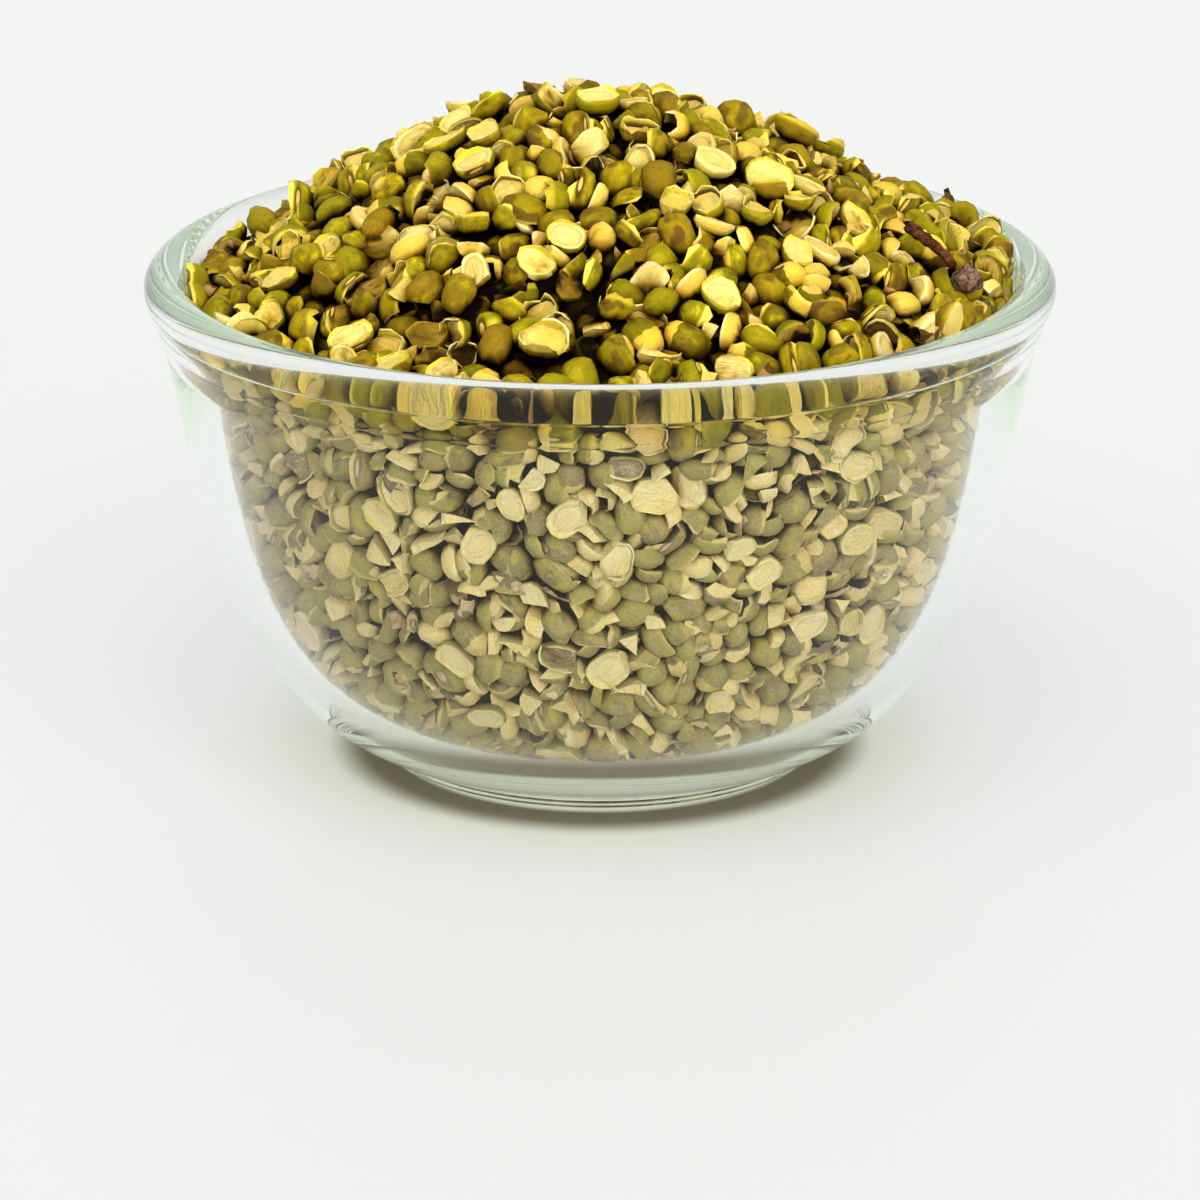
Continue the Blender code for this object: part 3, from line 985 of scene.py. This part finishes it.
def lentilFinish(name, bareDome=False, darkFlake=False, cupped=False):
    paint = Paint(name)
    grain, part, shade, flour = (paint.attribute(label) for label in ("grain", "part", "shade", "flour"))
    if cupped:
        # a cup's own wall counts as a neighbour, so its inside is let off some of the shade
        shade = shade.maths("POWER", 0.35 + part * 0.5)
    local = paint.attribute("local", "Vector")
    shift = paint.node("ShaderNodeCombineXYZ", None, {0: grain * 37.0, 1: grain * 91.0, 2: grain * 53.0})
    place = paint.vector("ADD", local, shift.outputs[0])
    split = paint.node("ShaderNodeSeparateXYZ", None, {0: local})
    x, y, z = (Wire(paint, split.outputs[i]) for i in range(3))
    cloud = paint.noise(place, 1.6, 2.0)
    patch = paint.noise(place, 0.9, 1.0)
    speckle = paint.noise(place, 8.0, 2.0)
    fine = paint.noise(place, 20.0, 3.0)
    streak = paint.noise(paint.vector("MULTIPLY", place, (1.6, 6.5, 3.0)), 1.3, 3.0)
    first, second, third, fourth = (paint.dice(grain, k) for k in (0.3, 1.7, 2.9, 4.1))
    # the skin's outside, with the scar where the seed hung in its pod, pale with a dark rim
    bruise = (patch + fine * 0.25).smooth(0.62, 0.72) * first.smooth(0.55, 0.8)
    reachX, reachZ = x / 0.4, (z + 0.5) / 0.2
    scar = reachX * reachX + reachZ * reachZ
    onSide = y.smooth(0.45, 0.6) * fourth.smooth(0.5, 0.54)
    colour = paint.layered(
        skins["green"],
        (skins["olive"], first.smooth(0.3, 0.85)),
        (skins["brown"], second.smooth(0.74, 0.97)),
        (skins["deep"], third.smooth(0.5, 1.0) * 0.55 + cloud.smooth(0.45, 0.75) * 0.35),
        # lime in patches, and lighter towards the lip, partly the lip's own colour and partly a painted edge
        # highlight
        (skins["lime"], cloud.smooth(0.5, 0.25) * fourth.smooth(0.3, 0.9) * 0.6
                        + z.smooth(-0.5, -1.1) * 0.35),
        (skins["deep"], speckle.smooth(0.54, 0.72) * 0.35),
        (skins["huskDark"], bruise * 0.75),
        (flesh["pale"], z.smooth(-0.84, -1.0) * fourth.smooth(0.1, 0.6) * 0.65),
        (skins["scarEdge"], onSide * scar.smooth(4.5, 1.2) * 0.8),
        (skins["scar"], onSide * scar.smooth(1.0, 0.45) * 0.85))
    if darkFlake:
        colour = paint.mix(colour, skins["huskDark"], first.smooth(0.0, 0.4) * 0.9)
    # the flesh, with the groove round its flat face, chalky streaks along it, yellow where it is worn,
    # and a painted highlight along the face's outline, stronger on some, with a ring of painted shade within
    # it
    rho = (x * x + y * y).maths("SQRT")
    offGroove = (rho + cloud * 0.7 + patch * 0.3 - 1.12).maths("ABSOLUTE")
    groove = offGroove.smooth(0.07, 0.0) * z.smooth(-0.3, -0.6) * first.smooth(0.75, 0.55)
    onFace = z.smooth(-0.4, -0.7)
    wander = rho + cloud * 0.3 + patch * 0.2 - 0.25
    ringed = onFace * fourth.smooth(0.45, 0.75)
    inner = paint.layered(
        flesh["pale"],
        (flesh["yellow"], second.smooth(0.3, 1.0) * 0.35 + z.smooth(-0.95, -0.5) * 0.4),
        (flesh["warm"], third.smooth(0.8, 1.0) * 0.7),
        (flesh["greenish"], cloud.smooth(0.5, 0.72) * 0.45 + first.smooth(0.7, 1.0) * 0.4),
        (flesh["line"], groove * 0.3),
        (flesh["chalk"], streak.smooth(0.45, 0.7) * onFace * 0.45),
        (flesh["yellow"], cloud.smooth(0.5, 0.3) * 0.4),
        (flesh["line"], wander.smooth(0.62, 0.74) * wander.smooth(0.86, 0.76) * ringed * 0.4),
        (flesh["chalk"], wander.smooth(0.80, 0.90) * (0.15 + ringed * 0.5)))
    if bareDome:
        inner = paint.mix(inner, flesh["yellow"], z.smooth(-0.9, -0.4) * 0.6)
    rim = paint.layered(
        skins["lime"],
        (flesh["pale"], fine.smooth(0.35, 0.7) * 0.6),
        (skins["huskInside"], streak.smooth(0.5, 0.62) * second.smooth(0.4, 0.7) * 0.7))
    if cupped:
        # an empty skin is brown inside
        rim = paint.mix(rim, skins["huskDark"], z.smooth(-1.5, -0.6) * second.smooth(0.9, 0.4))
    if darkFlake:
        rim = paint.mix(skins["huskInside"], skins["scar"], second.smooth(0.3, 0.9) * 0.7)
    # on a few the skin has come off one end
    peeled = (x + cloud * 0.5 - first * 0.5).smooth(0.32, 0.36) * third.smooth(0.84, 0.86)
    outside = paint.mix(colour, inner, peeled * (0.0 if darkFlake else 0.9))
    # flour dulls those against the glass and is partly painted light there, and the rest are richer and
    # painted darker, a painted shade over the open heap
    dusted = flour * (0.5 - part * 0.26) * (speckle * 2.4 + cloud * 1.6 - 0.9)
    base = paint.layered(
        inner, (rim, part.smooth(0.2, 0.42)), (outside, part.smooth(0.6, 0.8)), (flesh["flour"], dusted))
    richAndDimmed = paint.mix(paint.mix(flesh["richAndDimmed"], skins["richAndDimmed"], part), white, flour)
    # painted shade: warmer and darker where other lentils crowd round a point, near black in the deepest gaps
    paintedShadeTint = paint.mix(skins["paintedShadeTint"], white, shade.smooth(0.2, 0.85))
    base = paint.vector("MULTIPLY", paint.vector("MULTIPLY", base, richAndDimmed), paintedShadeTint)
    base = paint.mix(base, skins["paintedGapShade"], shade.smooth(0.42, 0.1) * 0.98)
    height = fine * 0.4 + cloud * 0.8 + streak * (part.smooth(0.3, 0.0) * 1.3) - groove * 0.4
    paint.set(Base_Color=base, Roughness=0.7 - part * 0.2, Normal=paint.bump(height, 0.8, 0.22 * mm),
              Specular_IOR_Level=0.07)
    return paint.material


# painted shade: the core is near black, for the shadow deep inside the heap
def coreFinish():
    paint = Paint("heapDepths")
    place = paint.node("ShaderNodeTexCoord").outputs["Object"]
    patch = paint.noise(place, 420.0, 2.0)
    base = paint.mix((0.006, 0.003, 0.001), (0.04, 0.025, 0.005), patch.smooth(0.4, 0.65))
    paint.set(Base_Color=base, Roughness=0.9, Specular_IOR_Level=0.03)
    return paint.material


def heapCore():
    # what lies under the loose layer, with lumps of the lentils' size
    s = heap
    section = [(0.0, glassBowl["floor"][1] + s["layer"])]
    wall = innerWall(40)
    slope = np.gradient(wall, axis=0)
    normal = np.stack([-slope[:, 1], slope[:, 0]], 1) / np.linalg.norm(slope, axis=1)[:, None]
    for point in wall + normal * s["layer"]:
        if point[1] > section[-1][1] and point[1] < s["edge"] - 4 * mm:
            section.append(tuple(point))
    for r in np.linspace(section[-1][0] - 0.8 * mm, 0.0, 26):
        section.append((r, float(heapHeight(0.0, r)) - s["coreSink"] * s["layer"]))
    core = turned("heapCore", np.array(section), 110)
    points = np.array([v.co for v in core.data.vertices])
    outward = points - np.array(s["coreMiddle"])
    outward /= np.linalg.norm(outward, axis=1)[:, None]
    lean = heapHeight(points[:, 0], points[:, 1]) - heapHeight(0.0, np.hypot(points[:, 0], points[:, 1]))
    points[:, 2] += np.where(points[:, 2] > s["coreLeanFrom"], lean, 0.0)
    waves = np.sin(points @ np.array(s["coreWaves"]).T + 1.3)
    points += outward * (waves.prod(1) * s["coreRelief"])[:, None]
    core.data.vertices.foreach_set("co", points.astype(np.float32).ravel())
    core.data.materials.append(coreFinish())
    asFilling(core)
    report("heap core")


heapCore()
places, turns, sizes, kinds = settleLentils()
crowd = crowdGrid(places, turns, sizes, kinds)
report("crowding")
lots = (
    ("splitLentils", "split", lentilFinish("splitLentil")),
    ("cuppedLentils", "cupped", lentilFinish("cuppedLentil", cupped=True)),
    ("peeledLentils", "bare", lentilFinish("peeledLentil", bareDome=True)),
    ("wholeLentils", "whole", lentilFinish("wholeLentil")),
    ("brokenLentils", "chip", lentilFinish("brokenLentil")),
    ("looseHusks", "flake", lentilFinish("husk", darkFlake=True)),
)
for number, (title, kind, finish) in enumerate(lots):
    mine = kinds == kind
    strewPiece(title, kind, places[mine], turns[mine], sizes[mine], finish, 100 + number)


# The lump of earth and the piece of stalk

def crumbFinish(name, dark, light, scale):
    paint = Paint(name)
    place = paint.node("ShaderNodeTexCoord").outputs["Object"]
    coarse, grit = paint.noise(place, scale, 3.0), paint.noise(place, scale * 4, 3.0)
    paint.set(Base_Color=paint.mix(dark, light, (coarse * 0.6 + grit * 0.5).smooth(0.4, 0.75)), Roughness=0.9,
              Normal=paint.bump(grit + coarse, 0.8, 0.2 * mm), Specular_IOR_Level=0.1)
    return paint.material


def meshPiece(name, form, finish):
    bmesh.ops.recalc_face_normals(form, faces=form.faces)
    mesh = meshFrom(name, form)
    mesh.shade_smooth()
    mesh.materials.append(finish)
    asFilling(linked(name, mesh))


def earthLump():
    s = litter
    draw = random.Random(5)
    form = bmesh.new()
    bmesh.ops.create_icosphere(form, subdivisions=4, radius=s["lumpRadius"])
    middle = Vector(onTop(s["lumpPlace"], s["lumpAbove"]))
    bumps = []
    for i in range(s["lumpBumps"]):
        at = Vector([draw.gauss(0, 1) for axis in range(3)]).normalized()
        bumps.append((at, draw.uniform(*s["bumpHeights"])))
    for vert in form.verts:
        way = vert.co.normalized()
        swell = sum(high * math.exp(-(1 - way.dot(at)) * s["bumpSharpness"]) for at, high in bumps)
        vert.co = middle + Vector((vert.co.x, vert.co.y, s["lumpSquash"] * vert.co.z)) * (1 + swell)
    meshPiece("earthLump", form, crumbFinish("dryEarth", (0.04, 0.022, 0.014), (0.27, 0.175, 0.12), 900.0))


def stalk():
    s = litter
    draw = random.Random(9)
    start, end = (Vector(onTop(p, s["stalkAbove"])) for p in s["stalkEnds"])
    along = (end - start).normalized()
    side = along.cross(Vector((0, 0, 1))).normalized()
    up = side.cross(along)
    form = bmesh.new()
    rings, sides = s["stalkRings"], s["stalkSides"]
    previous = None
    for i in range(rings):
        t = i / (rings - 1)
        middle = start.lerp(end, t) + up * 0.5 * mm * math.sin(math.pi * t)
        middle += side * 0.25 * mm * math.sin(5 * t)
        reach = s["stalkRadius"] * (1 - s["stalkTaper"] * t) * draw.uniform(0.85, 1.15)
        ring = []
        for j in range(sides):
            angle = 2 * math.pi * j / sides
            ridge = 1 + s["ridgeHeight"] * math.cos(s["stalkRidges"] * angle)
            way = side * math.cos(angle) + up * math.sin(angle)
            ring.append(form.verts.new(middle + way * reach * ridge))
        if previous:
            for j in range(sides):
                form.faces.new((previous[j], previous[(j + 1) % sides], ring[(j + 1) % sides], ring[j]))
        else:
            form.faces.new(ring[::-1])
        previous = ring
    form.faces.new(previous)
    meshPiece("stalk", form, crumbFinish("driedStalk", (0.028, 0.009, 0.004), (0.15, 0.06, 0.025), 1400.0))


earthLump()
stalk()
report("lump of earth and stalk")


# Floor, light and camera

studio = {
    "floorSize": 8.0,
    "floorColour": (0.17, 0.17, 0.17),
    "floorSheen": 0.6,
    "floorGlow": (0.565, 0.58, 0.577),  # the sweep glows by itself, painted light that lightens the shadows on it
    # painted shadow: the glow is dimmer and warmer under and round the bowl
    "shadowUnderBowl": (0.51, 0.53, 0.44),
    "footShadow": (0.06, 0.045, 0.02),    # a painted contact shadow, warm and dark, where the bowl meets the floor
    "footShadowShift": (0.0, 2.4 * mm, 0.0),
    "footShadowReach": (22.6 * mm, 24.0 * mm, 26.0 * mm, 31.0 * mm, 48.0 * mm),
    "horizon": (0.86, 0.865, 0.86),
    "overhead": (0.9, 0.9, 0.89),
    "cameraSide": (0.92, 0.96, 0.87),   # the glass shows the dimmer side that the camera stands on
    "boxes": (                          # soft boxes: from, spread, radiance
        ((-0.3, -0.5, 0.9), (0.76, 0.92), (3.1, 3.0, 2.8)),
        ((0.25, -0.85, 0.38), (0.72, 0.94), (4.9, 4.8, 4.5)),
    ),
    "cameraTarget": 15.6 * mm,
    "cameraDistance": 700.0 * mm,
    "cameraElevation": 18.6,
    "focalPixels": 6268.0,
    "framePixels": 1200.0,
}


def buildStudio():
    s = studio
    form = bmesh.new()
    bmesh.ops.create_grid(form, x_segments=1, y_segments=1, size=s["floorSize"] / 2)
    mesh = meshFrom("floor", form)
    floor = linked("floor", mesh)
    paint = Paint("paleFloor")
    place = paint.node("ShaderNodeTexCoord").outputs["Object"]
    # painted shadow on the floor: a warm dark ring at the foot, and a dimmer, warmer glow under and round the
    # bowl
    radius = paint.vector("LENGTH", paint.vector("ADD", place, s["footShadowShift"]), output="Value")
    inner, near, far, outer, clear = s["footShadowReach"]
    foot = radius.smooth(inner, near) * radius.smooth(outer, far) * 0.85
    glow = paint.mix(s["shadowUnderBowl"], s["floorGlow"], radius.smooth(near, clear))
    paint.set(Base_Color=paint.mix(s["floorColour"], s["footShadow"], foot), Roughness=s["floorSheen"],
              Emission_Strength=1.0, Emission_Color=paint.mix(glow, s["footShadow"], foot))
    mesh.materials.append(paint.material)

    world = bpy.data.worlds.new("softWhite")
    world.use_nodes = True
    world.cycles.sampling_method = "NONE"
    sky = Nodes(world.node_tree)
    toward = sky.node("ShaderNodeTexCoord").outputs["Generated"]
    parts = sky.node("ShaderNodeSeparateXYZ", None, {0: toward})
    height, back = (Wire(sky, parts.outputs[i]) for i in (2, 1))
    light = sky.mix(s["horizon"], s["overhead"], height.smooth(0.1, 0.9))
    # what the camera sees in the glass, without the soft boxes
    shown = sky.mix(light, s["cameraSide"], back.smooth(-0.1, -0.75))
    for source, spread, radiance in s["boxes"]:
        aim = Vector(source).normalized()
        facing = sky.vector("DOT_PRODUCT", toward, aim, output="Value")
        light = sky.mix(light, radiance, facing.smooth(*spread))
    lit = Wire(sky, sky.node("ShaderNodeLightPath").outputs["Diffuse Depth"]).smooth(0.2, 0.8)
    sky.plug(sky.mix(shown, light, lit), world.node_tree.nodes["Background"].inputs["Color"])
    bpy.context.scene.world = world

    camera = linked("camera", bpy.data.cameras.new("camera"))
    tilt = math.radians(s["cameraElevation"])
    reach = s["cameraDistance"]
    camera.location = (0.0, -reach * math.cos(tilt), s["cameraTarget"] + reach * math.sin(tilt))
    camera.rotation_euler = (math.pi / 2 - tilt, 0.0, 0.0)
    camera.data.sensor_width = 36.0
    camera.data.lens = 36.0 * s["focalPixels"] / s["framePixels"]
    camera.data.clip_end = 50.0
    bpy.context.scene.camera = camera


buildStudio()
view = bpy.context.scene.view_settings
view.view_transform = "Standard"
view.gamma = 0.85  # the contrast of a studio print
for kind in ("max_bounces", "transmission_bounces", "glossy_bounces"):
    setattr(bpy.context.scene.cycles, kind, 64)  # light runs round in the glass wall many times
report("studio")
